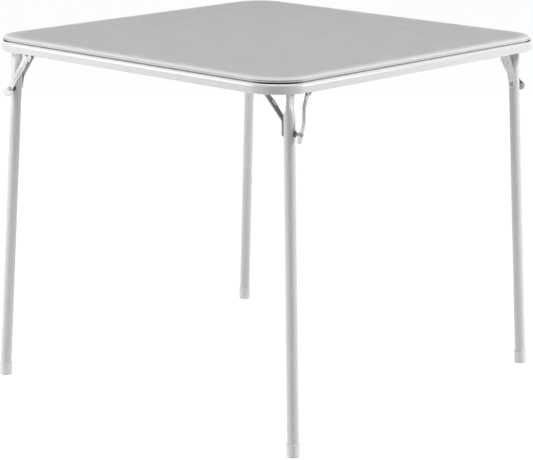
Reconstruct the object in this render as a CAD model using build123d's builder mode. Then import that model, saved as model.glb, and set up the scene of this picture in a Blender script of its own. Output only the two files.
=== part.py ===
from build123d import *
from math import atan2, cos, degrees, hypot, radians, sin, tan
import os

os.makedirs("parts", exist_ok=True)

# Folding card table, in millimetres: +Z up, the floor at Z 0, the origin under the middle of the top.
# Each corner is the one before it turned a quarter turn, so the four legs fold as a pinwheel.
corner_names = ["front_right", "back_right", "back_left", "front_left"]

# Whole table
table_width = 813.0
table_height = 711.0
corner_radius = 78.0
cut_overrun = 2.0
seat_gap = 0.05
running_gap = 0.08

# Frame rail: one roll-formed section all round
rail_height = 19.0
rail_sheet = 1.0
rail_ledge_width = 16.0
rail_lip_width = 4.0
rail_shoulder_radius = 6.0
rail_foot_radius = 1.6

# Padded panel
panel_inset = 5.6
panel_height = 9.5
vinyl_sheet = 0.8
board_sheet = 4.0
board_edge_radius = 2.2
roll_radius = 6.0
crown_fall = 1.0
crown_run = 28.0
welt_radius = 0.8
welt_height = 3.2
turn_under_width = 24.0

# Staples through the turned-under vinyl
staple_crown = 10.0
staple_wire = 0.9
staple_margin = 4.0
staple_count = 5
staple_leg = 0.5
staple_bite = 3.0

# Board screws through the ledge
screw_head_radius = 3.6
screw_head_height = 1.9
screw_shank_radius = 1.6
screw_bite = 3.0
screw_pitch = 110.0
screw_count = 4

# Splice inside the rail, at the middle of the back
splice_length = 64.0
splice_sheet = 1.2
splice_ledge_width = 14.0
splice_rivet_pitch = 40.0
splice_rivet_inset = 10.5

# Hinge: how far in from the corner's outer face the pivot lies, and how far across the table's diagonal
pivot_inset = 35.6
pivot_offset = 19.5
pivot_drop = 28.0
fold_angle = 29.0

# Leg tube: how far its foot stands out from its pivot, along and across the diagonal
foot_splay = 40.0
foot_skew = 11.5
tube_radius = 11.0
tube_wall = 1.1

# Eye at the tube's top, pressed flat and to the lever's side
eye_width = 26.0
eye_sheet = 8.0
eye_shift = 3.0
eye_reach = 14.0
taper_end = 45.0

# Foot cap
cap_height = 25.0
cap_wall = 1.3
cap_sole = 5.0
cap_rim = 0.5
cap_rim_height = 3.0
cap_ground = 0.9
cap_edge_radius = 2.8

# Heads of rivets, screws and pins
head_taper = 30

# Hinge rod
rod_radius = 3.5
rod_head_radius = 6.0
rod_head_height = 2.0

# Corner bracket: a plate under the ledge with ears for the rod and the stud
plate_sheet = 1.8
plate_reach_x = 110.0
plate_reach_y = 118.0
plate_diagonal_inset = 102.6
plate_corner_radius = 6.0
ear_sheet = 2.0
ear_radius = 8.5
ear_shoulder = 12.0
leg_ear_gap = 0.4
strut_ear_place = 48.0
stud_ear_place = 22.2
rivet_line = 10.5
rivet_turn_angle = 33.0
rivet_radius = 2.4
rivet_head_radius = 3.6
rivet_head_height = 1.5

# Side strut: fixed to the leg by the lever pin, its eye on the hinge rod
strut_width = 13.0
strut_sheet = 2.5
strut_eye_place = 45.0
strut_eye_bend = 9.0
strut_bend = 54.0
strut_bend_radius = 4.0
wing_shift = 7.6
wing_place = 22.0
strut_slot_shift = 7.0
strut_slot_place = 25.0
strut_slot_length = 11.0
strut_slot_width = 4.4

# Lever pin and its washer
pin_drop = 77.0
pin_radius = 2.6
pin_head_radius = 4.6
pin_head_height = 1.7
washer_radius = 6.0
washer_sheet = 1.2

# Lock lever: hooked on the latch stud when the leg stands
lever_angle = 26.6
lever_width = 12.0
lever_sheet = 2.0
lever_low_place = 26.0
lever_high_place = 19.2
lever_joggle_start = 22.0
lever_joggle_end = 52.0
lever_bend_radius = 6.0
lever_reach = 83.4
lever_tip = 6.0
tab_radius = 8.8
tab_place = 9.5
tab_shift = 1.5
rib_width = 4.0
rib_height = 1.0
rib_start = 12.0
rib_end = 66.0
notch_gap = 0.4
notch_flare = 0.5
notch_slope = 18.9
notch_run = 11.0

# Latch stud
stud_radius = 3.0
stud_head_radius = 4.6
stud_head_height = 1.2
side_gap = 0.3

# Places that follow from these
half_width = table_width / 2
straight_length = table_width - 2 * corner_radius
turn_point = half_width - corner_radius
corner_reach = turn_point * hypot(1, 1) + corner_radius
rail_top = table_height - panel_height
rail_floor = rail_top - rail_height
ledge_floor = rail_top - rail_sheet
plate_floor = ledge_floor - plate_sheet
pivot_radius = corner_reach - pivot_inset
pivot_height = table_height - pivot_drop
crown_turn = 2 * atan2(crown_fall, crown_run)
crown_radius = crown_run / sin(crown_turn)
panel_side = panel_height - crown_fall - roll_radius * cos(crown_turn)
panel_edge_run = roll_radius * (1 - sin(crown_turn)) + crown_run


def place_at(radius, offset, height):
    # A point given along and across the front right corner's diagonal
    return Vector(radius, offset, height).rotate(Axis.Z, -45)


def tipped(plane, angle):
    # The plane tipped about its Y, its top towards its X
    lean = radians(angle)
    upright = plane.z_dir * cos(lean) + plane.x_dir * sin(lean)
    forward = plane.x_dir * cos(lean) - plane.z_dir * sin(lean)
    return Plane(origin=plane.origin, x_dir=forward, z_dir=upright)


def flank(plane, across, high):
    # A sketch plane square to the rod, X forwards and Y up, that looks away from the strut
    place = plane.from_local_coords((across, high, 0))
    return Plane(origin=place, x_dir=plane.x_dir, z_dir=-plane.y_dir)


def edge_on(plane):
    # A sketch plane with the rod's direction as X and the piece's own up as Y
    return Plane(origin=plane.origin, x_dir=plane.y_dir, z_dir=plane.x_dir)


# Hinge: origin on the rod at the leg, X the way the leg folds, Y along the rod to the strut
fold_heading = Vector(1, 0, 0).rotate(Axis.Z, 135 - fold_angle)
pivot = place_at(pivot_radius, pivot_offset, pivot_height)
hinge = Plane(origin=pivot, x_dir=fold_heading, z_dir=(0, 0, 1))

# Leg: it leans a little as it stands, and its tube runs a little along the rod as well
foot = hinge.to_local_coords(place_at(pivot_radius + foot_splay, pivot_offset + foot_skew, 0))
leg_reach = hypot(foot.X, foot.Z)
leg_length = hypot(leg_reach, foot.Y)
leg = tipped(hinge, degrees(atan2(-foot.X, -foot.Z)))
skew = atan2(-foot.Y, leg_reach)
tube_axis = leg.z_dir * cos(skew) + leg.y_dir * sin(skew)
tube_flank = tube_radius / cos(skew)

# Lever: origin level with the lever pin, Z up along the lever
pin_fall = pin_drop * cos(skew)
pin_shift = pin_drop * sin(skew)
pin_level = Plane(origin=leg.from_local_coords((0, 0, -pin_fall)), x_dir=leg.x_dir, z_dir=leg.z_dir)
lever = tipped(pin_level, lever_angle)
stud = hinge.to_local_coords(lever.from_local_coords((0, 0, lever_reach)))


def tube_plane(drop):
    # Across the tube, this far down from the hinge rod
    return Plane(origin=leg.origin - tube_axis * drop, x_dir=leg.x_dir, z_dir=tube_axis)


def four_ways(points):
    # The same points at every corner
    return [point.rotate(Axis.Z, 90 * corner) for corner in range(4) for point in points]


def save(piece, name):
    piece.part.label = name
    export_step(piece.part, "parts/" + name + ".step")


def save_corners(piece, name):
    for corner, corner_name in enumerate(corner_names):
        turned = piece.part.rotate(Axis.Z, 90 * corner)
        turned.label = corner_name + "_" + name
        export_step(turned, "parts/" + turned.label + ".step")


def cut_round(plane, radius, depth):
    with BuildSketch(plane) as hole:
        Circle(radius)
    extrude(hole.sketch, amount=depth, mode=Mode.SUBTRACT)


def cut_points(points, radius, height, depth):
    # Round holes up from a height at all these points
    with BuildSketch(Plane.XY.offset(height)) as holes:
        with Locations(*[(point.X, point.Y) for point in points]):
            Circle(radius)
    extrude(holes.sketch, amount=depth, mode=Mode.SUBTRACT)


def add_fasteners(points, height, head_radius, head_height, shank_radius, shank_length):
    # Domed heads below a height, and their shanks above it
    spots = [(point.X, point.Y) for point in points]
    with BuildSketch(Plane.XY.offset(height)) as heads:
        with Locations(*spots):
            Circle(head_radius)
    extrude(heads.sketch, amount=-head_height, taper=head_taper)
    with BuildSketch(Plane.XY.offset(height)) as shanks:
        with Locations(*spots):
            Circle(shank_radius)
    extrude(shanks.sketch, amount=shank_length)


def add_headed_pin(plane, across, high, low, radius, head_radius, head_height):
    # A shank between two heights along the rod's direction, with a domed head at each end
    with BuildSketch(flank(plane, across, high)) as shank:
        Circle(radius)
    extrude(shank.sketch, amount=high - low)
    with BuildSketch(flank(plane, across, high)) as near_head:
        Circle(head_radius)
    extrude(near_head.sketch, amount=-head_height, taper=head_taper)
    with BuildSketch(flank(plane, across, low)) as far_head:
        Circle(head_radius)
    extrude(far_head.sketch, amount=head_height, taper=head_taper)


# Where the fasteners go
screw_inset = (rail_shoulder_radius + rail_ledge_width) / 2
screw_reach = screw_pitch * (screw_count - 1) / 2
screw_row = [Vector(screw_pitch * step - screw_reach, screw_inset - half_width, 0) for step in range(screw_count)]
screw_points = four_ways(screw_row)
rivet_arm = Vector(corner_radius - rivet_line, 0, 0)
rivet_row = [
    Vector(turn_point, -turn_point, 0) + rivet_arm.rotate(Axis.Z, spread - 45)
    for spread in (-rivet_turn_angle, 0, rivet_turn_angle)
]
rivet_row.append(Vector(half_width - plate_reach_x + rivet_line, rivet_line - half_width, 0))
rivet_row.append(Vector(half_width - rivet_line, plate_reach_y - half_width - rivet_line, 0))
rivet_points = four_ways(rivet_row)
splice_points = [
    Vector(side * splice_rivet_pitch / 2, half_width - splice_rivet_inset, 0) for side in (-1, 1)
]


# Rings that run round the table with one section
def side_plane(side, inset, height):
    # At the start of one side, X inwards and Y up, looking along the side
    start = Vector(-turn_point, inset - half_width, height)
    return Plane(
        origin=start.rotate(Axis.Z, 90 * side),
        x_dir=Vector(0, 1, 0).rotate(Axis.Z, 90 * side),
        z_dir=Vector(1, 0, 0).rotate(Axis.Z, 90 * side),
    )


def add_ring(draw_section, inset, height):
    for side in range(4):
        start = side_plane(side, inset, height)
        turn_centre = Vector(turn_point, -turn_point, 0).rotate(Axis.Z, 90 * side)
        extrude(draw_section(start), amount=straight_length)
        end_section = draw_section(start.offset(straight_length))
        revolve(end_section, axis=Axis(turn_centre, (0, 0, 1)), revolution_arc=90)


def draw_rail(plane):
    with BuildSketch(plane) as section:
        with BuildLine():
            FilletPolyline(
                (rail_lip_width, 0),
                (0, 0),
                (0, rail_height),
                (rail_ledge_width, rail_height),
                radius=[rail_foot_radius, rail_shoulder_radius],
            )
            offset(amount=rail_sheet, side=Side.RIGHT)
        make_face()
    return section.sketch


def draw_panel_edge(inset):
    # The padded edge, from its side over the roll to where the crown ends
    side = Line((inset, panel_side / 2), (inset, panel_side))
    roll = JernArc(side @ 1, side % 1, roll_radius - inset, degrees(crown_turn) - 90)
    JernArc(roll @ 1, roll % 1, crown_radius - inset, -degrees(crown_turn))


def draw_vinyl(plane):
    with BuildSketch(plane) as section:
        with BuildLine():
            draw_panel_edge(0)
            Polyline((0, panel_side / 2), (0, 0), (turn_under_width, 0))
            Line((turn_under_width, 0), (turn_under_width, vinyl_sheet))
            Line((turn_under_width, vinyl_sheet), (vinyl_sheet, vinyl_sheet))
            Line((vinyl_sheet, vinyl_sheet), (vinyl_sheet, panel_side / 2))
            draw_panel_edge(vinyl_sheet)
            Line((panel_edge_run, panel_height), (panel_edge_run, panel_height - vinyl_sheet))
        make_face()
        with Locations((0, welt_height)):
            Circle(welt_radius)
    return section.sketch


def draw_foam(plane):
    foam_floor = vinyl_sheet + board_sheet
    low = panel_side / 2
    with BuildSketch(plane) as section:
        with BuildLine():
            draw_panel_edge(vinyl_sheet)
            Line((vinyl_sheet, low), (panel_edge_run, low))
            Line((panel_edge_run, low), (panel_edge_run, panel_height - vinyl_sheet))
        make_face()
        with Locations((panel_edge_run / 2, foam_floor)):
            Rectangle(
                panel_edge_run + cut_overrun,
                panel_height,
                align=(Align.CENTER, Align.MAX),
                mode=Mode.SUBTRACT,
            )
    return section.sketch


def add_rounded_slab(inset, height, amount):
    side = table_width - 2 * inset
    with BuildSketch(Plane.XY.offset(height)) as slab:
        RectangleRounded(side, side, corner_radius - inset)
    extrude(slab.sketch, amount=amount)


# Frame rail: the outer wall, the round shoulder, the ledge that carries the panel, and the lip
with BuildPart() as frame_rail:
    add_ring(draw_rail, 0, rail_floor)
    cut_points(screw_points, screw_shank_radius + seat_gap, ledge_floor, rail_sheet)
    cut_points(rivet_points, rivet_radius + seat_gap, ledge_floor, rail_sheet)
    cut_points(splice_points, rivet_radius + seat_gap, ledge_floor, rail_sheet)
save(frame_rail, "frame_rail")

# Splice plate inside the rail, where its two ends meet at the back
with BuildPart() as frame_splice:
    splice_start = side_plane(2, 0, rail_floor).offset((straight_length - splice_length) / 2)
    with BuildSketch(splice_start):
        with BuildLine():
            FilletPolyline(
                (rail_sheet, rail_foot_radius + rail_sheet),
                (rail_sheet, rail_height - rail_sheet),
                (rail_sheet + splice_ledge_width, rail_height - rail_sheet),
                radius=rail_shoulder_radius - rail_sheet,
            )
            offset(amount=splice_sheet, side=Side.RIGHT)
        make_face()
    extrude(amount=splice_length)
    cut_points(splice_points, rivet_radius + seat_gap, ledge_floor - splice_sheet, splice_sheet)
save(frame_splice, "frame_splice")

with BuildPart() as splice_rivets:
    splice_grip = splice_sheet + rail_sheet
    add_fasteners(
        splice_points,
        rail_top - splice_grip,
        rivet_head_radius,
        rivet_head_height,
        rivet_radius,
        splice_grip,
    )
save(splice_rivets, "splice_rivets")

# Staples: flat wire, its crown on the vinyl's turned-under edge and its legs up into the board
staple_line = panel_inset + turn_under_width - staple_margin - half_width
staple_pitch = (table_width - 2 * plate_reach_x) / staple_count
staple_reach = staple_pitch * (staple_count - 1) / 2
staple_row = [Vector(staple_pitch * step - staple_reach, staple_line, 0) for step in range(staple_count)]
leg_row = [
    spot + Vector(side * (staple_crown - staple_leg) / 2, 0, 0) for spot in staple_row for side in (-1, 1)
]


def draw_staple_row(side, height, row, length, width):
    with BuildSketch(Plane.XY.offset(height).rotated((0, 0, 90 * side))) as wires:
        with Locations(*[(spot.X, spot.Y) for spot in row]):
            Rectangle(length, width)
    return wires.sketch


def cut_staple_legs(height, depth):
    for side in range(4):
        holes = draw_staple_row(side, height, leg_row, staple_leg + 2 * seat_gap, staple_wire + 2 * seat_gap)
        extrude(holes, amount=depth, mode=Mode.SUBTRACT)


with BuildPart() as cover_staples:
    for side in range(4):
        extrude(draw_staple_row(side, rail_top, staple_row, staple_crown, staple_wire), amount=-staple_leg)
        leg_ends = draw_staple_row(side, rail_top, leg_row, staple_leg, staple_wire)
        extrude(leg_ends, amount=vinyl_sheet + staple_bite)
save(cover_staples, "cover_staples")

# Vinyl cover: over the pad, round the edge with a thin welt, and turned under the board
flat_inset = panel_inset + panel_edge_run
with BuildPart() as vinyl_cover:
    add_ring(draw_vinyl, panel_inset, rail_top)
    add_rounded_slab(flat_inset, table_height - vinyl_sheet, vinyl_sheet)
    cut_points(screw_points, screw_shank_radius + seat_gap, rail_top, vinyl_sheet)
    cut_staple_legs(rail_top, vinyl_sheet)
save(vinyl_cover, "vinyl_cover")

# Foam pad
with BuildPart() as foam_pad:
    add_ring(draw_foam, panel_inset, rail_top)
    foam_floor = rail_top + vinyl_sheet + board_sheet
    add_rounded_slab(flat_inset, foam_floor, table_height - vinyl_sheet - foam_floor)
save(foam_pad, "foam_pad")

# Fibreboard panel
with BuildPart() as top_board:
    board_floor = rail_top + vinyl_sheet
    add_rounded_slab(panel_inset + vinyl_sheet + seat_gap, board_floor, board_sheet)
    fillet(top_board.faces().sort_by(Axis.Z)[-1].edges(), board_edge_radius)
    cut_points(screw_points, screw_shank_radius + seat_gap, board_floor, screw_bite + seat_gap)
    cut_staple_legs(board_floor, staple_bite + seat_gap)
save(top_board, "top_board")

# Screws up through the ledge into the board
with BuildPart() as board_screws:
    add_fasteners(
        screw_points,
        ledge_floor,
        screw_head_radius,
        screw_head_height,
        screw_shank_radius,
        rail_sheet + vinyl_sheet + screw_bite,
    )
save(board_screws, "board_screws")

# Rivets that hold the corner brackets to the ledge
with BuildPart() as bracket_rivets:
    add_fasteners(
        rivet_points,
        plate_floor,
        rivet_head_radius,
        rivet_head_height,
        rivet_radius,
        rail_top - plate_floor,
    )
save(bracket_rivets, "bracket_rivets")


# Corner bracket: its ears hang square to the hinge rod, two of them beside the leg's eye
leg_ear_high = eye_sheet / 2 + leg_ear_gap + ear_sheet - eye_shift
leg_ear_low = -eye_sheet / 2 - leg_ear_gap - eye_shift


def add_ear(across, high, middle, hole_radius):
    with BuildSketch(flank(hinge, across, high)) as ear:
        with Locations((0, middle)):
            Circle(ear_radius)
        with Locations((0, ledge_floor - plate_sheet / 2 - pivot_height)):
            Rectangle(2 * ear_shoulder, plate_sheet / 2, align=(Align.CENTER, Align.MAX))
        make_hull()
        with Locations((0, middle)):
            Circle(hole_radius, mode=Mode.SUBTRACT)
    extrude(ear.sketch, amount=ear_sheet)


with BuildPart() as hinge_bracket:
    plate_inset = rail_shoulder_radius + seat_gap
    plate_left = half_width - plate_reach_x
    plate_back = plate_reach_y - half_width
    plate_edge = half_width - plate_inset
    diagonal = (corner_reach - plate_diagonal_inset) * hypot(1, 1)
    with BuildSketch(Plane.XY.offset(plate_floor)):
        with BuildLine():
            FilletPolyline(
                (plate_left, -plate_edge),
                (plate_edge, -plate_edge),
                (plate_edge, plate_back),
                (diagonal + plate_back, plate_back),
                (plate_left, plate_left - diagonal),
                radius=[
                    plate_corner_radius,
                    corner_radius - plate_inset,
                    plate_corner_radius,
                    plate_corner_radius,
                    plate_corner_radius,
                ],
                close=True,
            )
        make_face()
    extrude(amount=plate_sheet)
    cut_points(rivet_row, rivet_radius + seat_gap, plate_floor, plate_sheet)
    add_ear(0, leg_ear_high, 0, rod_radius + seat_gap)
    add_ear(0, leg_ear_low, 0, rod_radius + seat_gap)
    add_ear(0, strut_ear_place + ear_sheet, 0, rod_radius + seat_gap)
    add_ear(stud.X, -stud_ear_place, stud.Z, stud_radius + seat_gap)
save_corners(hinge_bracket, "hinge_bracket")

# Hinge rod through the ears, the leg's eye and the strut's eye
with BuildPart() as hinge_rod:
    rod_high = strut_ear_place + ear_sheet
    rod_low = leg_ear_low - ear_sheet
    add_headed_pin(hinge, 0, rod_high, rod_low, rod_radius, rod_head_radius, rod_head_height)
save_corners(hinge_rod, "hinge_rod")

# Latch stud: the lever hooks it between its inner head and the ear
with BuildPart() as latch_stud:
    stud_plane = Plane(origin=hinge.from_local_coords((stud.X, 0, stud.Z)), x_dir=hinge.x_dir, z_dir=(0, 0, 1))
    stud_high = side_gap - lever_high_place
    stud_low = -stud_ear_place - ear_sheet
    add_headed_pin(stud_plane, 0, stud_high, stud_low, stud_radius, stud_head_radius, stud_head_height)
save_corners(latch_stud, "latch_stud")


# Leg: a round tube pressed flat at the top for its eye
eye_floor = leg.from_local_coords((0, -eye_shift, -eye_reach))
eye_plane = Plane(origin=eye_floor, x_dir=leg.x_dir, z_dir=leg.z_dir)


def draw_flattened(plane, width, sheet):
    bend = (width - sheet) / 2
    edge = sheet / 2
    with BuildSketch(plane) as section:
        with BuildLine():
            Line((-bend, -edge), (bend, -edge))
            ThreePointArc((bend, -edge), (width / 2, 0), (bend, edge))
            Line((bend, edge), (-bend, edge))
            ThreePointArc((-bend, edge), (-width / 2, 0), (-bend, -edge))
        make_face()
    return section.sketch


def draw_tube(plane, radius):
    # A circle in four arcs, so that it runs cleanly into the flattened end
    split = radius * cos(radians(45))
    with BuildSketch(plane) as section:
        with BuildLine():
            ThreePointArc((-split, -split), (0, -radius), (split, -split))
            ThreePointArc((split, -split), (radius, 0), (split, split))
            ThreePointArc((split, split), (0, radius), (-split, split))
            ThreePointArc((-split, split), (-radius, 0), (-split, -split))
        make_face()
    return section.sketch


def form_tube(inset, mode):
    width = eye_width - 2 * inset
    sheet = eye_sheet - 2 * inset
    flattened = draw_flattened(eye_plane, width, sheet)
    loft([flattened, draw_tube(tube_plane(taper_end), tube_radius - inset)], mode=mode)
    low_end = draw_tube(tube_plane(leg_length - cap_sole), tube_radius - inset)
    extrude(low_end, amount=leg_length - cap_sole - taper_end, mode=mode)


with BuildPart() as leg_tube:
    extrude(draw_flattened(eye_plane, eye_width, eye_sheet), amount=eye_reach + eye_width / 2)
    with BuildSketch(flank(leg, 0, eye_sheet / 2 - eye_shift)):
        Circle(eye_width / 2)
        Rectangle(eye_width, eye_width, align=(Align.CENTER, Align.MAX))
    extrude(amount=eye_sheet, mode=Mode.INTERSECT)
    form_tube(0, Mode.ADD)
    form_tube(tube_wall, Mode.SUBTRACT)
    eye_gap = draw_flattened(eye_plane, eye_width - 2 * tube_wall, eye_sheet - 2 * tube_wall)
    extrude(eye_gap, amount=eye_reach + eye_width / 2, mode=Mode.SUBTRACT)
    cut_round(flank(leg, 0, eye_sheet - eye_shift), rod_radius + running_gap, 2 * eye_sheet)
    cut_round(flank(pin_level, 0, tube_radius), pin_radius + seat_gap, 2 * tube_radius + pin_shift + cut_overrun)
save_corners(leg_tube, "leg_tube")

# Foot cap: a cup on the tube, its rounded sole cut level with the floor
with BuildPart() as foot_cap:
    cap_radius = tube_radius + cap_wall
    cap_bore = tube_radius + seat_gap
    cap_plane = edge_on(tube_plane(leg_length))
    with BuildSketch(cap_plane):
        with BuildLine():
            FilletPolyline(
                (0, -cap_ground),
                (cap_radius, -cap_ground),
                (cap_radius, cap_height - cap_rim_height),
                radius=cap_edge_radius,
            )
            Polyline(
                (cap_radius, cap_height - cap_rim_height),
                (cap_radius + cap_rim, cap_height - cap_rim_height),
                (cap_radius + cap_rim, cap_height),
                (cap_bore, cap_height),
                (cap_bore, cap_sole),
                (0, cap_sole),
                (0, -cap_ground),
            )
        make_face()
    revolve(axis=Axis(cap_plane.origin, tube_axis), revolution_arc=360)
    with BuildSketch(Plane(origin=cap_plane.origin)):
        Circle(2 * cap_radius)
    extrude(amount=-cap_height, mode=Mode.SUBTRACT)
save_corners(foot_cap, "foot_cap")

# Side strut: a slotted strap from the hinge rod, bent in to lie along the tube, wider towards its top
with BuildPart() as side_strut:
    strut_foot = pin_fall + strut_width
    with BuildSketch(edge_on(leg)):
        with BuildLine():
            FilletPolyline(
                (strut_eye_place, strut_width),
                (strut_eye_place, -strut_eye_bend),
                (tube_flank - strut_bend * tan(skew), -strut_bend),
                (tube_flank - strut_foot * tan(skew), -strut_foot),
                radius=strut_bend_radius,
            )
            offset(amount=strut_sheet, side=Side.LEFT)
        make_face()
    extrude(amount=strut_width / 2 + wing_shift, both=True)
    with BuildSketch(flank(leg, 0, strut_ear_place)):
        with Locations((0, 0), (wing_shift, -wing_place), (0, -pin_fall)):
            Circle(strut_width / 2)
        make_hull()
        Circle(rod_radius + running_gap, mode=Mode.SUBTRACT)
        with Locations((0, -pin_fall)):
            Circle(pin_radius + seat_gap, mode=Mode.SUBTRACT)
        with Locations((strut_slot_shift, -strut_slot_place)):
            SlotOverall(strut_slot_length, strut_slot_width, rotation=90, mode=Mode.SUBTRACT)
    extrude(amount=strut_ear_place, mode=Mode.INTERSECT)
save_corners(side_strut, "side_strut")

# Lever pin through the strut, the tube and the lever
tube_low = -pin_shift - tube_flank - washer_radius * tan(skew)
with BuildPart() as lever_pin:
    strut_high = tube_flank - pin_shift + strut_sheet / cos(skew) + pin_head_radius * tan(skew)
    lever_low = -lever_low_place - lever_sheet - side_gap
    add_headed_pin(pin_level, 0, strut_high, lever_low, pin_radius, pin_head_radius, pin_head_height)
save_corners(lever_pin, "lever_pin")

# Washers on the lever pin, at the tube and at the lever
with BuildPart() as lever_washers:
    for washer_high in (tube_low, side_gap + washer_sheet - lever_low_place):
        with BuildSketch(flank(pin_level, 0, washer_high)):
            Circle(washer_radius)
            Circle(pin_radius + seat_gap, mode=Mode.SUBTRACT)
        extrude(amount=washer_sheet)
save_corners(lever_washers, "lever_washers")


# Lock lever: a ribbed strap, joggled towards the leg above its pin, with a thumb tab below
def draw_lever(low_end, high_end, sheet):
    with BuildSketch(edge_on(lever)) as section:
        with BuildLine():
            FilletPolyline(
                (-lever_low_place, low_end),
                (-lever_low_place, lever_joggle_start),
                (-lever_high_place, lever_joggle_end),
                (-lever_high_place, high_end),
                radius=lever_bend_radius,
            )
            offset(amount=sheet, side=Side.LEFT)
        make_face()
    return section.sketch


with BuildPart() as lock_lever:
    lever_width_limit = tab_radius + tab_shift
    lever_depth = lever_low_place + lever_sheet + cut_overrun
    strap = draw_lever(-tab_place - tab_radius - cut_overrun, lever_reach + lever_tip + cut_overrun, lever_sheet)
    extrude(strap, amount=lever_width_limit, both=True)
    with BuildSketch(flank(lever, 0, 0)):
        Circle(lever_width / 2)
        with Locations((-tab_shift, -tab_place)):
            Circle(tab_radius)
        make_hull()
        Rectangle(lever_width, lever_reach, align=(Align.CENTER, Align.MIN))
        with Locations((0, lever_reach)):
            Circle(lever_tip)
        Circle(pin_radius + running_gap, mode=Mode.SUBTRACT)
    extrude(amount=lever_depth, mode=Mode.INTERSECT)
    extrude(draw_lever(rib_start, rib_end, lever_sheet + rib_height), amount=rib_width / 2, both=True)
    notch_angle = radians(notch_slope)
    notch_mouth = (-notch_run * cos(notch_angle), lever_reach - notch_run * sin(notch_angle))
    with BuildSketch(flank(lever, 0, 0)):
        with Locations((0, lever_reach)):
            Circle(stud_radius + notch_gap)
        with Locations(notch_mouth):
            Circle(stud_radius + notch_gap + notch_flare)
        make_hull()
    extrude(amount=lever_depth, mode=Mode.SUBTRACT)
save_corners(lock_lever, "lock_lever")
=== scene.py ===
import math

import bpy
from mathutils import Matrix, Vector


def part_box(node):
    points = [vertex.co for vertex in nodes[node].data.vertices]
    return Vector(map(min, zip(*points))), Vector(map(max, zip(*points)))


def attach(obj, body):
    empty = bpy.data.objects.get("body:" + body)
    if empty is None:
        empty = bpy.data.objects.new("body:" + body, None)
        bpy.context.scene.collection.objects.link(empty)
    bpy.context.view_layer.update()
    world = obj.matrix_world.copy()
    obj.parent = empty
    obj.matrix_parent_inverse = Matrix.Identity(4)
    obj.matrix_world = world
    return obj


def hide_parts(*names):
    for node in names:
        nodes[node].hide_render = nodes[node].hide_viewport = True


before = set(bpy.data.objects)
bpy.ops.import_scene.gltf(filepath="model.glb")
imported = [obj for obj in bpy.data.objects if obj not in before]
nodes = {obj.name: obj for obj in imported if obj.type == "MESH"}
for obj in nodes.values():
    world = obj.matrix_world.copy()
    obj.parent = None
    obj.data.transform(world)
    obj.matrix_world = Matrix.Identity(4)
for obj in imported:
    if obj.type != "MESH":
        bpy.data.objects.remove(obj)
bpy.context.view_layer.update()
print("frame loaded:", len(nodes), "nodes")


# A shader socket that takes part in sums
class Value:
    def __init__(self, finish, socket):
        self.finish = finish
        self.socket = socket

    def calculate(self, operation, first, second):
        return self.finish.add("Math", {"operation": operation}, {0: first, 1: second})

    def __add__(self, other):
        return self.calculate("ADD", self, other)

    def __radd__(self, other):
        return self.calculate("ADD", other, self)

    def __sub__(self, other):
        return self.calculate("SUBTRACT", self, other)

    def __rsub__(self, other):
        return self.calculate("SUBTRACT", other, self)

    def __mul__(self, other):
        return self.calculate("MULTIPLY", self, other)

    def __rmul__(self, other):
        return self.calculate("MULTIPLY", other, self)


# One material or world, built node by node
class Finish:
    def __init__(self, owner):
        owner.use_nodes = True
        self.owner = owner
        self.tree = owner.node_tree
        self.tree.nodes.clear()

    def add(self, kind, settings=None, inputs=None, output=0):
        node = self.tree.nodes.new("ShaderNode" + kind)
        for name, value in (settings or {}).items():
            if name == "stops":
                self.setStops(node.color_ramp, value)
            else:
                setattr(node, name, value)
        for name, value in (inputs or {}).items():
            if isinstance(value, Value):
                self.tree.links.new(value.socket, node.inputs[name])
            else:
                node.inputs[name].default_value = value
        return Value(self, node.outputs[output]) if node.outputs else None

    def setStops(self, ramp, stops):
        while len(ramp.elements) < len(stops):
            ramp.elements.new(0.5)
        for element, (place, shade) in zip(ramp.elements, stops):
            element.position = place
            element.color = (shade, shade, shade, 1.0)

    def place(self, stretch=(1.0, 1.0, 1.0)):
        spot = self.add("TexCoord", output="Object")  # metres, fixed to the piece
        return self.add("VectorMath", {"operation": "MULTIPLY"}, {0: spot, 1: stretch})

    def part(self, vector, axis):
        return self.add("SeparateXYZ", inputs={"Vector": vector}, output=axis)

    def height(self):
        return self.part(self.place(), 2)

    def span(self, value, start, end):
        # 0 up to the start, 1 from the end on
        return self.add("MapRange", inputs={"Value": value, "From Min": start, "From Max": end})

    def noise(self, place, size, layers=(3.0, 0.5)):
        # layers: how many finer ones lie on the first, and how strong each is beside the last
        detail, roughness = layers
        inputs = {"Vector": place, "Scale": 1.0 / size, "Detail": detail, "Roughness": roughness}
        return self.add("TexNoise", inputs=inputs)

    def cells(self, place, size, feature="F1"):
        return self.add("TexVoronoi", {"feature": feature}, {"Vector": place, "Scale": 1.0 / size})

    def ramp(self, value, *stops):
        return self.add("ValToRGB", {"stops": stops}, {"Fac": value})

    def tint(self, mask, first, second):
        # Mix's colour sockets are numbers 6 and 7, and its colour result is output 2
        colours = [c if isinstance(c, Value) else (*c, 1.0) for c in (first, second)]
        return self.add("Mix", {"data_type": "RGBA"}, {0: mask, 6: colours[0], 7: colours[1]}, 2)

    def bump(self, height, depth, strength):
        return self.add("Bump", inputs={"Height": height, "Distance": depth, "Strength": strength})

    def surface(self, sockets):
        return self.wear(self.add("BsdfPrincipled", inputs=sockets))

    def wear(self, shader):
        self.add("OutputMaterial", inputs={"Surface": shader})
        return self.owner


# The table's corners bend between these distances from its middle lines
cornerBend = (0.332, 0.352)


def cornerMask(finish):
    # 0 along the sides, 1 in the corners
    place = finish.add("VectorMath", {"operation": "ABSOLUTE"}, {0: finish.place()})
    inputs = {0: finish.part(place, 0), 1: finish.part(place, 1)}
    return finish.span(finish.add("Math", {"operation": "MINIMUM"}, inputs), *cornerBend)


# In the finishes, stops are (mask, value) pairs of a ramp, and sizes and depths are metres.

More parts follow.
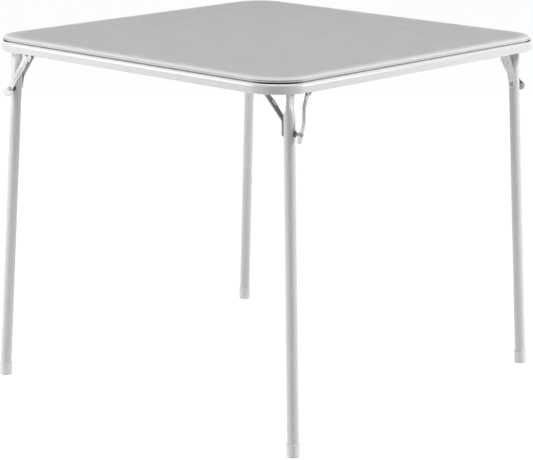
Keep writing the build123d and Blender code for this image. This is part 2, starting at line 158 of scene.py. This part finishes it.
# Soft grained vinyl: a fine pebble, with a painted highlight on the rolled side and painted shade where
# it meets the rail
vinylLook = {
    "light": (0.43, 0.43, 0.427),
    "dark": (0.382, 0.382, 0.38),
    "grainSize": 0.0011,
    "grainShares": (0.7, 0.5),      # of the pebble and of the creases between
    "grainDepth": 0.00010,
    "grainStrength": 0.6,
    "creaseScale": 2.6,             # a crease's size, in pebbles
    "creaseLayers": (4.0, 0.6),
    "mottleSize": 0.055,
    "mottleShares": (0.6, 0.3),     # of the mottle and of the grain
    "mottleStops": ((0.25, 0.0), (0.75, 1.0)),
    "roughness": ((0.2, 0.50), (0.8, 0.62)),
    "specular": 0.06,
    # painted highlight: a paler colour up the rolled side, standing in for its sheen
    "paintedRollHighlight": (0.68, 0.68, 0.675),
    # painted shade: dark in the gap below the welt and in a thin line above it
    "paintedSeamShade": (0.03, 0.03, 0.03),
    "sideHeights": (0.7015, 0.711),     # the next stops go up the side from the first to the last
    "paintedHighlightStops": ((0.0, 0.6), (0.5, 1.0), (0.86, 1.0), (0.96, 0.3), (1.0, 0.0)),
    "gapShadeStops": ((0.0, 1.0), (0.15, 1.0), (0.25, 0.0)),
    "lineShadeStops": ((0.42, 0.0), (0.45, 1.0), (0.53, 1.0), (0.59, 0.0)),
    "gapShadeShares": (0.48, 0.52),      # along the sides, and how much more in the corners
    "lineShadeShares": (0.2, 0.7),
}


def makeVinyl(look):
    vinyl = Finish(bpy.data.materials.new("greyVinyl"))
    place = vinyl.place()
    pebbleShare, creaseShare = look["grainShares"]
    pebble = vinyl.cells(place, look["grainSize"], "SMOOTH_F1")
    crease = vinyl.noise(place, look["grainSize"] * look["creaseScale"], look["creaseLayers"])
    grain = pebble * pebbleShare + crease * creaseShare
    mottleShare, grainShare = look["mottleShares"]
    mottle = vinyl.noise(place, look["mottleSize"]) * mottleShare + grain * grainShare
    colour = vinyl.tint(vinyl.ramp(mottle, *look["mottleStops"]), look["dark"], look["light"])
    risen = vinyl.span(vinyl.height(), *look["sideHeights"])
    # painted highlight: paler up the rolled side
    colour = vinyl.tint(vinyl.ramp(risen, *look["paintedHighlightStops"]), colour, look["paintedRollHighlight"])
    corner = cornerMask(vinyl)
    gapSide, gapMore = look["gapShadeShares"]
    lineSide, lineMore = look["lineShadeShares"]
    # painted shade in the gap below the welt and in a line above it, darker in the corners
    gapShade = vinyl.ramp(risen, *look["gapShadeStops"]) * (gapSide + corner * gapMore)
    lineShade = vinyl.ramp(risen, *look["lineShadeStops"]) * (lineSide + corner * lineMore)
    sockets = {
        "Base Color": vinyl.tint(gapShade + lineShade, colour, look["paintedSeamShade"]),
        "Roughness": vinyl.ramp(grain, *look["roughness"]),
        "Specular IOR Level": look["specular"],
        "Normal": vinyl.bump(grain, look["grainDepth"], look["grainStrength"]),
    }
    return vinyl.surface(sockets)


# Baked enamel on the rail and the legs: slight orange peel, dust specks and dulled patches, with
# painted shade on the rail's shoulder in the corners
enamelLook = {
    "paint": (0.70, 0.705, 0.70),
    "shade": (0.64, 0.645, 0.645),
    "shadeShares": (0.5, 0.35, 0.25),   # of the clouds, the specks and the scuffs
    "cloudSize": 0.09,
    "cloudLayers": (4.0, 0.6),
    "speckSize": 0.0016,
    "speckStops": ((0.0, 1.0), (0.06, 0.0)),
    "scuffSize": 0.012,
    "scuffLayers": (6.0, 0.7),
    "scuffStretch": (1.0, 1.0, 0.15),
    "scuffStops": ((0.52, 0.0), (0.72, 1.0)),
    "peelSize": 0.0035,
    "peelLayers": (2.0, 0.5),
    "peelDepth": 0.000018,
    "peelStrength": 0.8,
    "scuffRise": 0.25,                  # of a scuff, against the orange peel
    "roughness": ((0.25, 0.20), (0.8, 0.34)),
    "roughShares": (0.7, 0.3),          # of the clouds and of the scuffs
    "coat": 0.35,
    "coatRoughness": 0.12,
    # painted shade: dark on the top of the rail's shoulder beside the cover, in the corners
    "paintedCreaseShade": (0.03, 0.03, 0.03),
    "paintedShadeHeights": (0.7008, 0.7013),   # the last of the rail's shoulder, beside the cover
}


def makeEnamel(look):
    enamel = Finish(bpy.data.materials.new("greyEnamel"))
    place = enamel.place()
    cloud = enamel.noise(place, look["cloudSize"], look["cloudLayers"])
    peel = enamel.noise(place, look["peelSize"], look["peelLayers"])
    speck = enamel.ramp(enamel.cells(place, look["speckSize"]), *look["speckStops"])
    marks = enamel.noise(enamel.place(look["scuffStretch"]), look["scuffSize"], look["scuffLayers"])
    scuff = enamel.ramp(marks, *look["scuffStops"])
    cloudShare, speckShare, scuffShare = look["shadeShares"]
    shade = cloud * cloudShare + speck * speckShare + scuff * scuffShare
    colour = enamel.tint(shade, look["paint"], look["shade"])
    # painted shade along the top of the rail's shoulder, only in the corners
    crease = enamel.span(enamel.height(), *look["paintedShadeHeights"])
    cloudShare, scuffShare = look["roughShares"]
    rise = peel + scuff * look["scuffRise"]
    sockets = {
        "Base Color": enamel.tint(crease * cornerMask(enamel), colour, look["paintedCreaseShade"]),
        "Roughness": enamel.ramp(cloud * cloudShare + scuff * scuffShare, *look["roughness"]),
        "Coat Weight": look["coat"],
        "Coat Roughness": look["coatRoughness"],
        "Normal": enamel.bump(rise, look["peelDepth"], look["peelStrength"]),
    }
    return enamel.surface(sockets)


# What every bare or plated metal shares: faint crystals, drawing lines and dull spots
metalGrain = {
    "shares": (0.35, 0.35, 0.5),        # of the crystals, the lines and the clouds
    "dullStops": ((0.35, 0.0), (0.85, 1.0)),
    "roughSpan": (0.3, 0.9),
    "lineStretch": (1.0, 1.0, 0.06),
    "lineLayers": (3.0, 0.6),
    "cloudSize": 0.018,
    "cloudLayers": (4.0, 0.65),
    "riseShares": (0.6, 0.3),           # of the lines and of the crystals
    "riseStrength": 0.7,
}
zincLook = {                            # stamped fittings
    "bright": (0.70, 0.70, 0.695),
    "dull": (0.40, 0.405, 0.41),
    "crystalSize": 0.0042,
    "lineSize": 0.0009,
    "roughness": (0.22, 0.42),
    "depth": 0.000025,
}
pinSteelLook = {                        # lever pins
    "bright": (0.40, 0.40, 0.395),
    "dull": (0.24, 0.24, 0.242),
    "crystalSize": 0.0022,
    "lineSize": 0.0007,
    "roughness": (0.34, 0.52),
    "depth": 0.000015,
}
darkSteelLook = {                       # hinge rods, studs and washers
    "bright": (0.16, 0.16, 0.158),
    "dull": (0.07, 0.07, 0.072),
    "crystalSize": 0.0022,
    "lineSize": 0.0007,
    "roughness": (0.30, 0.52),
    "depth": 0.000015,
}


def makeMetal(name, look, grain):
    metal = Finish(bpy.data.materials.new(name))
    place = metal.place()
    crystals = metal.cells(place, look["crystalSize"])
    lines = metal.noise(metal.place(grain["lineStretch"]), look["lineSize"], grain["lineLayers"])
    cloud = metal.noise(place, grain["cloudSize"], grain["cloudLayers"])
    crystalShare, lineShare, cloudShare = grain["shares"]
    mask = crystals * crystalShare + lines * lineShare + cloud * cloudShare
    lineRise, crystalRise = grain["riseShares"]
    rise = lines * lineRise + crystals * crystalRise
    dulled = metal.ramp(mask, *grain["dullStops"])
    sockets = {
        "Base Color": metal.tint(dulled, look["bright"], look["dull"]),
        "Metallic": 1.0,
        "Roughness": metal.ramp(mask, *zip(grain["roughSpan"], look["roughness"])),
        "Normal": metal.bump(rise, look["depth"], grain["riseStrength"]),
    }
    return metal.surface(sockets)


# Moulded caps: satin plastic, scuffed round the sole
capLook = {
    "plastic": (0.80, 0.80, 0.79),
    "scuffed": (0.52, 0.52, 0.505),
    "scuffHeight": 0.006,
    "scuffSize": 0.004,
    "scuffLayers": (6.0, 0.75),
    "scuffStops": ((0.30, 0.0), (0.55, 1.0)),
    "textureSize": 0.0007,
    "textureLayers": (2.0, 0.5),
    "textureDepth": 0.00004,
    "textureStrength": 0.5,
    "roughness": ((0.1, 0.40), (0.9, 0.62)),
    "roughShares": (0.7, 0.3),          # of the scuffs and of the texture
}


def makeCapPlastic(look):
    plastic = Finish(bpy.data.materials.new("capPlastic"))
    place = plastic.place()
    marks = plastic.noise(place, look["scuffSize"], look["scuffLayers"])
    low = 1 - plastic.span(plastic.height(), 0.0, look["scuffHeight"])
    worn = plastic.ramp(marks * low, *look["scuffStops"])
    texture = plastic.noise(place, look["textureSize"], look["textureLayers"])
    wornShare, textureShare = look["roughShares"]
    sockets = {
        "Base Color": plastic.tint(worn, look["plastic"], look["scuffed"]),
        "Roughness": plastic.ramp(worn * wornShare + texture * textureShare, *look["roughness"]),
        "Normal": plastic.bump(texture, look["textureDepth"], look["textureStrength"]),
    }
    return plastic.surface(sockets)


# Fibreboard: pressed brown fibres, smooth on the face that shows from below
boardLook = {
    "light": (0.19, 0.172, 0.152),
    "dark": (0.10, 0.09, 0.079),
    "fibreSize": 0.0028,
    "fibreStretch": 0.25,               # a fibre's width, in its length
    "fibreLayers": (8.0, 0.75),
    "cloudSize": 0.06,
    "cloudLayers": (4.0, 0.5),
    "shares": (0.4, 0.35, 0.35),        # of the fibres each way and of the clouds
    "stops": ((0.38, 0.0), (0.72, 1.0)),
    "roughness": ((0.3, 0.38), (0.8, 0.6)),
    "depth": 0.00005,
    "strength": 0.5,
}


def makeBoard(look):
    board = Finish(bpy.data.materials.new("brownFibreboard"))
    stretch, size, layers = look["fibreStretch"], look["fibreSize"], look["fibreLayers"]
    fibres = board.noise(board.place((1.0, stretch, 1.0)), size, layers)
    crossing = board.noise(board.place((stretch, 1.0, 1.0)), size, layers)
    cloud = board.noise(board.place(), look["cloudSize"], look["cloudLayers"])
    fibreShare, crossingShare, cloudShare = look["shares"]
    mask = fibres * fibreShare + crossing * crossingShare + cloud * cloudShare
    sockets = {
        "Base Color": board.tint(board.ramp(mask, *look["stops"]), look["dark"], look["light"]),
        "Roughness": board.ramp(mask, *look["roughness"]),
        "Normal": board.bump(fibres + crossing, look["depth"], look["strength"]),
    }
    return board.surface(sockets)


vinyl = makeVinyl(vinylLook)
enamel = makeEnamel(enamelLook)
zinc = makeMetal("brightZinc", zincLook, metalGrain)
pinSteel = makeMetal("pinSteel", pinSteelLook, metalGrain)
darkSteel = makeMetal("darkSteel", darkSteelLook, metalGrain)
capPlastic = makeCapPlastic(capLook)
fibreboard = makeBoard(boardLook)
print("materials made")


# Carried-over pieces take the finish that stands for the end of their name, or else zinc
finishes = {
    "frame_rail": enamel,
    "leg_tube": enamel,
    "foot_cap": capPlastic,
    "top_board": fibreboard,
    "hinge_rod": darkSteel,
    "latch_stud": darkSteel,
    "lever_pin": pinSteel,
    "lever_washers": darkSteel,
}


def finishOf(name):
    for ending, finish in finishes.items():
        if name.endswith(ending):
            return finish
    return zinc


for name, piece in nodes.items():
    piece.data.materials.clear()
    piece.data.materials.append(finishOf(name))
print("carried-over pieces finished")


# Padded top: vinyl over foam, rolled round the board's edge and turned in under it, in metres
paddedTop = {
    "cornerRadius": 0.0724,
    "leastRadius": 0.006,   # of the inner loops' corners
    "welt": 0.0008,         # radius of the thin welt, which stands out from the side
    "weltHeight": 0.0032,
    "weltArc": (265, 95),       # degrees: the way round it from below, open to the side
    "weltNeck": (1.4, 1.15),    # how far below its middle the neck lies, in its radii
    "weltLean": 1.3,            # how far above its middle the side stands clear, in its radii
    "rollFrom": 2.4,            # how far above its middle the roll begins, in its radii
    "turnedUnder": 0.024,
    "underRows": 10,
    "sheet": 0.0008,
    "foldRadius": 0.0008,
    "foldInset": 0.0006,    # how far the fold tucks in below the welt
    "rollRadius": 0.006,
    "crownFall": 0.001,
    "crownRun": 0.028,
    "foldSteps": 5,
    "weltSteps": 8,
    "rollSteps": 12,
    "crownSteps": 9,
    "cornerSteps": 26,
    "sideSteps": 28,
    "ringPitch": 0.013,
    "swell": 0.00022,       # how far the foam lifts and dips the cover
    "swellMost": 0.0002,
    "swellLength": 0.07,
    "swellPhase": 1.3,
    "swellAlong": 0.83,     # the second way's waves, in the first way's
    "slantSwell": 0.6,      # how high the slanting waves are, in the straight ones
    "slantWaves": 0.41,
    "swellEdge": (0.004, 0.03),     # where the swells begin, and how far in they are whole
    "swellFade": 0.5,               # how much of them is lost by the middle
    "swellHeight": 0.006,           # the side below this has none
    "pleatDepth": 0.0009,   # folds gathered round each corner underneath
    "pleatCount": 9,
    "pleatStart": 0.0125,
    "pleatRun": 0.008,
    "heldHeight": 0.0085,   # the cloth is held below this, at its rolled edge
    "pressure": 4.0,
    "clothMass": 0.4,
    "stretchStiffness": 40,
    "bendStiffness": 2,
    "quality": 6,
    "frames": 20,
    "mostMove": 0.0009,
}


def arcPoints(centre, radius, start, end, steps):
    points = []
    for step in range(steps + 1):
        angle = math.radians(start + (end - start) * step / steps)
        points.append((centre[0] + radius * math.cos(angle), centre[1] + radius * math.sin(angle)))
    return points


def underProfile(shape):
    # (inset, height) from the turned-under edge, round the fold and the welt
    under, rows = shape["turnedUnder"], shape["underRows"]
    tuck, fold = shape["foldInset"], shape["foldRadius"]
    welt, middle = shape["welt"], shape["weltHeight"]
    neckLow, neckHigh = (middle - welt * drop for drop in shape["weltNeck"])
    lean = welt * shape["weltLean"]
    profile = [(under, shape["sheet"])]
    profile += [(under * (1 - step / rows), 0.0) for step in range(rows - 1)]
    profile += arcPoints((tuck + fold, fold), fold, 270, 180, shape["foldSteps"])
    profile += [(tuck, neckLow), (tuck * 0.5, neckHigh)]
    profile += arcPoints((0.0, middle), welt, *shape["weltArc"], shape["weltSteps"])
    profile.append((lean, middle + lean))
    return profile


def topProfile(shape, half, height):
    # On from the welt: the rolled side, the slight crown and the flat
    tilt = 2 * math.atan2(shape["crownFall"], shape["crownRun"])
    roll = shape["rollRadius"]
    crown = shape["crownRun"] / math.sin(tilt)
    side = height - shape["crownFall"] - roll * math.cos(tilt)
    crownEnd = roll * (1 - math.sin(tilt)) + shape["crownRun"]
    rollHeight = shape["weltHeight"] + shape["welt"] * shape["rollFrom"]
    rollStart = 180 - math.degrees(math.asin((rollHeight - side) / roll))
    rollEnd = 90 + math.degrees(tilt)
    profile = underProfile(shape)
    profile += arcPoints((roll, side), roll, rollStart, rollEnd, shape["rollSteps"])
    profile += arcPoints((crownEnd, height - crown), crown, rollEnd, 90, shape["crownSteps"])[1:]
    rings = int((half - crownEnd) / shape["ringPitch"])
    profile += [(crownEnd + shape["ringPitch"] * ring, height) for ring in range(1, rings)]
    return profile


def cornerLoop(shape, half, inset):
    # One loop of a rounded square, with where each point lies round its corner
    radius = max(shape["cornerRadius"] - inset, shape["leastRadius"])
    reach = half - inset - radius
    loop = []
    for corner in range(4):
        turn = Matrix.Rotation(math.radians(90 * corner), 2)
        for step in range(shape["cornerSteps"] + 1):
            share = step / shape["cornerSteps"]
            angle = math.radians(-90 + 90 * share)
            point = Vector((reach + radius * math.cos(angle), -reach + radius * math.sin(angle)))
            loop.append((turn @ point, share))
        ahead = turn @ Vector((reach + radius, reach))
        last = loop[-1][0]
        for step in range(1, shape["sideSteps"]):
            loop.append((last.lerp(ahead, step / shape["sideSteps"]), None))
    return loop


def swellAt(shape, spot, inset, half):
    # Broad, shallow swells that die away at the stretched edge and towards the middle
    wave = 2 * math.pi / shape["swellLength"]
    across = math.sin(wave * spot.x + shape["swellPhase"])
    along = math.cos(wave * shape["swellAlong"] * spot.y)
    slanting = math.sin(wave * shape["slantWaves"] * (spot.x + spot.y))
    start, run = shape["swellEdge"]
    edge = min(max(inset - start, 0.0) / run, 1.0)
    pattern = across * along + shape["slantSwell"] * slanting
    return shape["swell"] * pattern * edge * (1 - shape["swellFade"] * inset / half)


def pleatAt(shape, inset, share):
    # Folds round a corner of the turned-under edge, deeper further in
    ramp = min(max(inset - shape["pleatStart"], 0.0) / shape["pleatRun"], 1.0)
    wave = 0.5 - 0.5 * math.cos(2 * math.pi * share * shape["pleatCount"])
    return shape["pleatDepth"] * ramp * wave


def loopFaces(rows, count):
    # Quads between the loops, and one face that closes the last
    faces = []
    for row in range(rows - 1):
        for step in range(count):
            here, beside = row * count + step, row * count + (step + 1) % count
            faces.append((here, beside, beside + count, here + count))
    faces.append(tuple(range((rows - 1) * count, rows * count)))
    return faces


def makePaddedTop(shape):
    low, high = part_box("vinyl_cover")
    half = high.x - shape["welt"]
    profile = topProfile(shape, half, high.z - low.z)
    verts = []
    for row, (inset, height) in enumerate(profile):
        for spot, share in cornerLoop(shape, half, inset):
            lift = 0.0
            if height > shape["swellHeight"]:
                lift = min(swellAt(shape, spot, inset, half), shape["swellMost"])
            elif share is not None and row < shape["underRows"]:
                lift = -pleatAt(shape, inset, share)
            verts.append((spot.x, spot.y, low.z + height + lift))
    mesh = bpy.data.meshes.new("paddedTop")
    mesh.from_pydata(verts, [], loopFaces(len(profile), len(verts) // len(profile)))
    mesh.update()
    for polygon in mesh.polygons:
        polygon.use_smooth = True
    top = bpy.data.objects.new("paddedTop", mesh)
    bpy.context.scene.collection.objects.link(top)
    mesh.materials.append(vinyl)
    return top


def addCloth(top, shape):
    # Held round its rolled edge and pushed up from inside, as the foam does
    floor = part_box("vinyl_cover")[0].z
    held = top.vertex_groups.new(name="held")
    for vertex in top.data.vertices:
        free = vertex.co.z > floor + shape["heldHeight"]
        held.add([vertex.index], 0.0 if free else 1.0, "REPLACE")
    cloth = top.modifiers.new("foamPush", "CLOTH")
    cloth.settings.quality = shape["quality"]
    cloth.settings.mass = shape["clothMass"]
    cloth.settings.tension_stiffness = shape["stretchStiffness"]
    cloth.settings.compression_stiffness = shape["stretchStiffness"]
    cloth.settings.bending_stiffness = shape["bendStiffness"]
    cloth.settings.vertex_group_mass = held.name
    cloth.settings.use_pressure = True
    cloth.settings.uniform_pressure_force = shape["pressure"]
    cloth.settings.effector_weights.gravity = 0
    return cloth, held


def puffCover(top, shape):
    # The cloth's last frame, with all moves scaled so that the largest stays small
    scene = bpy.context.scene
    mesh = top.data
    cloth, held = addCloth(top, shape)
    for step in range(1, shape["frames"] + 1):
        scene.frame_set(step)
    puffed = top.evaluated_get(bpy.context.evaluated_depsgraph_get()).data
    moves = [after.co - before.co for before, after in zip(mesh.vertices, puffed.vertices)]
    most = max(move.length for move in moves)
    share = min(1.0, shape["mostMove"] / most)
    top.modifiers.remove(cloth)
    top.vertex_groups.remove(held)
    for vertex, move in zip(mesh.vertices, moves):
        vertex.co += move * share
    mesh.update()
    scene.frame_set(1)
    print("cover puffed: most move", round(most * 1000, 2), "mm, kept to", shape["mostMove"] * 1000)


top = makePaddedTop(paddedTop)
puffCover(top, paddedTop)
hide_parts("vinyl_cover", "foam_pad")
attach(top, "table_top")
print("padded top made:", len(top.data.vertices), "points")


# Floor and light: white to the camera, with the table's shadow kept
stageLook = {
    "floorSize": 30.0,
    "floorColour": (0.86, 0.86, 0.86, 1.0),
    "floorDrop": 0.0002,    # below the caps
    "glow": 0.88,           # how much of the floor's white is its own, to the camera
    "white": 1.09,
    "worldStrength": 0.13,
}
pureWhite = (1.0, 1.0, 1.0, 1.0)


def seenDirectly(finish):
    # 1 to the camera, and in what metal and gloss show
    rays = ("Is Camera Ray", "Is Glossy Ray", "Is Transmission Ray")
    camera, glossy, passing = (finish.add("LightPath", output=name) for name in rays)
    return camera + glossy + passing


def makeFloor(look):
    # Pale from above and clear from below
    size, low = look["floorSize"] / 2, -look["floorDrop"]
    corners = [(-size, -size, low), (size, -size, low), (size, size, low), (-size, size, low)]
    mesh = bpy.data.meshes.new("floor")
    mesh.from_pydata(corners, [], [(0, 1, 2, 3)])
    floor = bpy.data.objects.new("floor", mesh)
    bpy.context.scene.collection.objects.link(floor)
    paper = Finish(bpy.data.materials.new("whitePaper"))
    matt = paper.add("BsdfDiffuse", inputs={"Color": look["floorColour"]})
    white = paper.add("Emission", inputs={"Color": pureWhite, "Strength": look["white"]})
    paperTop = paper.add("MixShader", inputs={0: seenDirectly(paper) * look["glow"], 1: matt, 2: white})
    below = paper.add("NewGeometry", output="Backfacing")
    clear = paper.add("BsdfTransparent")
    mesh.materials.append(paper.wear(paper.add("MixShader", inputs={0: below, 1: paperTop, 2: clear})))


def lightWorld(look):
    world = bpy.data.worlds.new("paleRoom")
    bpy.context.scene.world = world
    room = Finish(world)
    soft = room.add("Background", inputs={"Color": pureWhite, "Strength": look["worldStrength"]})
    white = room.add("Background", inputs={"Color": pureWhite, "Strength": 1.0})
    mixed = room.add("MixShader", inputs={0: seenDirectly(room), 1: soft, 2: white})
    room.add("OutputWorld", inputs={"Surface": mixed})


lamps = {
    "overhead": {"place": (0.2, -0.2, 3.4), "aim": (0, 0, 0.7), "size": (2.2, 2.2), "power": 60},
    "rightPanel": {"place": (2.85, 1.75, 1.5), "aim": (0, 0, 0.4), "size": (1.6, 2.6), "power": 80},
    "leftPanel": {"place": (-1.95, -2.65, 1.5), "aim": (0, 0, 0.4), "size": (1.6, 2.6), "power": 76},
    "backPanel": {"place": (-2.3, 2.3, 0.36), "aim": (0, 0, 0.45), "size": (2.4, 0.6), "power": 22},
}


def hangLamps(settings):
    for name, lamp in settings.items():
        light = bpy.data.lights.new(name, "AREA")
        light.shape = "RECTANGLE"
        light.size, light.size_y = lamp["size"]
        light.energy = lamp["power"]
        holder = bpy.data.objects.new(name, light)
        place = Vector(lamp["place"])
        holder.location = place
        holder.rotation_euler = (Vector(lamp["aim"]) - place).to_track_quat("-Z", "Y").to_euler()
        holder.visible_camera = False
        bpy.context.scene.collection.objects.link(holder)


makeFloor(stageLook)
lightWorld(stageLook)
hangLamps(lamps)
print("stage lit")


# Camera: where the photograph was taken from, in metres, degrees and millimetres of film
camera = {
    "place": (2.8537, -3.0795, 1.3365),
    "heading": 42.827,
    "down": 13.867,
    "roll": 0.332,
    "lens": 140.0,
    "sensor": 36.0,
    "farthest": 60.0,
}


def setCamera(view):
    heading, down, roll = (math.radians(view[name]) for name in ("heading", "down", "roll"))
    level = math.cos(down)
    ahead = Vector((-math.sin(heading) * level, math.cos(heading) * level, -math.sin(down)))
    right = Vector((math.cos(heading), math.sin(heading), 0))
    up = right.cross(ahead)
    tiltedRight = right * math.cos(roll) + up * math.sin(roll)
    tiltedUp = up * math.cos(roll) - right * math.sin(roll)
    turn = Matrix((tiltedRight, tiltedUp, -ahead)).transposed()
    lens = bpy.data.cameras.new("camera")
    lens.lens = view["lens"]
    lens.sensor_width = view["sensor"]
    lens.sensor_fit = "HORIZONTAL"
    lens.clip_end = view["farthest"]
    holder = bpy.data.objects.new("camera", lens)
    holder.matrix_world = Matrix.Translation(view["place"]) @ turn.to_4x4()
    bpy.context.scene.collection.objects.link(holder)
    bpy.context.scene.camera = holder


setCamera(camera)
bpy.context.scene.view_settings.view_transform = "Standard"
print("scene ready")
